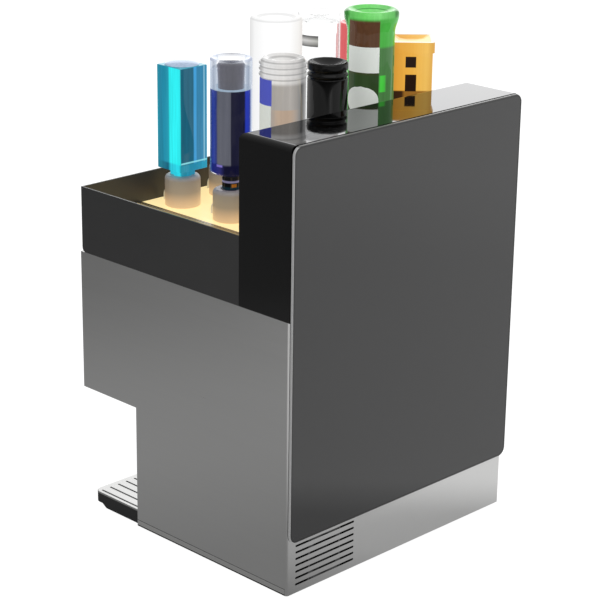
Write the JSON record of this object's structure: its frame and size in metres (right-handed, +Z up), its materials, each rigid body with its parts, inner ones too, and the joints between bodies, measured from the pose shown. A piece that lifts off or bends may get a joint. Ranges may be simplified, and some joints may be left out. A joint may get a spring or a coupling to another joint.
{
  "type": "cocktail dispenser",
  "caption": "Counter-top cocktail dispenser: steel body with overhanging head, lit tray of inverted bottles, tall black rear hood and plate, drip tray with lift-out grille.",
  "frame": {"origin": "on the table, under the middle of the object's box", "axes": "+Z up; the front (screen, nozzle and drip tray) faces -Y, the rear plate faces +Y, and +X is to the right seen from the front"},
  "size_m": [0.571, 0.5482, 0.948],
  "materials": {
    "base_steel": "brushed",
    "foot_rubber": "matt",
    "screw_steel": "plain",
    "body_steel": "fine brushed",
    "inner_steel": "plain",
    "front_glass": "polished, black backed",
    "display": "dark",
    "nozzle_black": "satin",
    "light_lens": "frosted",
    "tray_black": "satin",
    "deck_diffuser": "frosted",
    "spill_steel": "perforated",
    "circuit_board": "plain",
    "connector_grey": "satin",
    "hose_white": "silicone",
    "valve_black": "plain",
    "pipe_white": "plain",
    "pump_black": "satin",
    "rotor_white": "plain",
    "motor_zinc": "cast",
    "clear_cover": "clear",
    "hood_black": "high gloss",
    "plate_grey": "gloss",
    "brass": "plain",
    "board_green": "plain",
    "supply_case": "plain",
    "grille_steel": "brushed",
    "glass_cyan": "polished",
    "glass_clear": "polished",
    "glass_frosted": "frosted",
    "glass_black": "polished",
    "glass_green": "polished",
    "glass_amber": "polished",
    "drink_clear": "liquid",
    "drink_blue": "liquid",
    "drink_red": "liquid",
    "drink_dark": "liquid",
    "drink_amber": "liquid"
  },
  "bodies": {
    "machine": {"base_pan": "base_steel", "rubber_feet": "foot_rubber", "foot_screws": "screw_steel", "body_wrap": "body_steel", "splash_panel": "body_steel", "head_floor": "body_steel", "top_plate": "inner_steel", "front_glass": "front_glass", "display_module": "display", "display_bracket": "inner_steel", "nozzle_block": "nozzle_black", "bay_light": "light_lens", "bottle_tray": "tray_black", "lit_deck": "deck_diffuser", "spill_strip": "spill_steel", "deck_rails": "inner_steel", "light_strips": "circuit_board", "front_connectors": "connector_grey", "middle_connectors": "connector_grey", "rear_connectors": "connector_grey", "feed_hoses": "hose_white", "feed_valves": "valve_black", "collector_manifold": "pipe_white", "delivery_tube": "hose_white", "pump_housing": "pump_black", "pump_motor": "motor_zinc", "pump_bracket": "inner_steel", "pump_cover": "clear_cover", "hood_shell": "hood_black", "rear_plate": "plate_grey", "plate_standoffs": "valve_black", "electronics_plate": "inner_steel", "board_standoffs": "brass", "controller_board": "board_green", "power_supply": "supply_case", "fan_frame": "pump_black", "power_inlet": "pump_black"},
    "pump_rotor": {"pump_rotor": "rotor_white", "pump_shaft": "screw_steel"},
    "fan_rotor": {"fan_rotor": "pump_black"},
    "rocker_switch": {"rocker_switch": "pump_black"},
    "drip_tray": {"drip_tray": "tray_black"},
    "drip_grille": {"drip_grille": "grille_steel"},
    "square_blue_bottle": {"square_blue_bottle": "glass_cyan", "square_liquid": "drink_clear"},
    "round_blue_bottle": {"round_blue_bottle": "glass_clear", "blue_liquid": "drink_blue"},
    "frosted_bottle": {"frosted_bottle": "glass_frosted", "frosted_liquid": "drink_clear"},
    "ringed_bottle": {"ringed_bottle": "glass_clear", "ringed_liquid": "drink_clear"},
    "clear_bottle": {"clear_bottle": "glass_clear", "clear_liquid": "drink_clear"},
    "red_bottle": {"red_bottle": "glass_clear", "red_liquid": "drink_red"},
    "black_bottle": {"black_bottle": "glass_black", "black_liquid": "drink_dark"},
    "green_bottle": {"green_bottle": "glass_green", "green_liquid": "drink_dark"},
    "amber_bottle": {"amber_bottle": "glass_amber", "amber_liquid": "drink_amber"}
  },
  "joints": [
    {"name": "pump_spin", "type": "hinge", "parent": "machine", "child": "pump_rotor", "pos_m": [-0.062, -0.2001, 0.35], "axis": [0, 1, 0], "continuous": true},
    {"name": "fan_spin", "type": "hinge", "parent": "machine", "child": "fan_rotor", "pos_m": [0.19125, 0.2644, 0.0575], "axis": [0, 1, 0], "continuous": true},
    {"name": "power_rocker", "type": "hinge", "parent": "machine", "child": "rocker_switch", "pos_m": [-0.2785, 0.1959, 0.087], "axis": [0, 1, 0], "range_deg": [0, 14]},
    {"name": "drip_tray_slide", "type": "slide", "parent": "machine", "child": "drip_tray", "axis": [0, -1, 0], "range_m": [0, 0.14]},
    {"name": "grille_lift", "type": "slide", "parent": "drip_tray", "child": "drip_grille", "axis": [0, 0, 1], "range_m": [0, 0.12]},
    {"name": "square_blue_lift", "type": "slide", "parent": "machine", "child": "square_blue_bottle", "axis": [0, 0, 1], "range_m": [0, 0.12]},
    {"name": "round_blue_lift", "type": "slide", "parent": "machine", "child": "round_blue_bottle", "axis": [0, 0, 1], "range_m": [0, 0.12]},
    {"name": "frosted_lift", "type": "slide", "parent": "machine", "child": "frosted_bottle", "axis": [0, 0, 1], "range_m": [0, 0.12]},
    {"name": "ringed_lift", "type": "slide", "parent": "machine", "child": "ringed_bottle", "axis": [0, 0, 1], "range_m": [0, 0.12]},
    {"name": "clear_lift", "type": "slide", "parent": "machine", "child": "clear_bottle", "axis": [0, 0, 1], "range_m": [0, 0.12]},
    {"name": "red_lift", "type": "slide", "parent": "machine", "child": "red_bottle", "axis": [0, 0, 1], "range_m": [0, 0.12]},
    {"name": "black_lift", "type": "slide", "parent": "machine", "child": "black_bottle", "axis": [0, 0, 1], "range_m": [0, 0.12]},
    {"name": "green_lift", "type": "slide", "parent": "machine", "child": "green_bottle", "axis": [0, 0, 1], "range_m": [0, 0.12]},
    {"name": "amber_lift", "type": "slide", "parent": "machine", "child": "amber_bottle", "axis": [0, 0, 1], "range_m": [0, 0.12]}
  ]
}
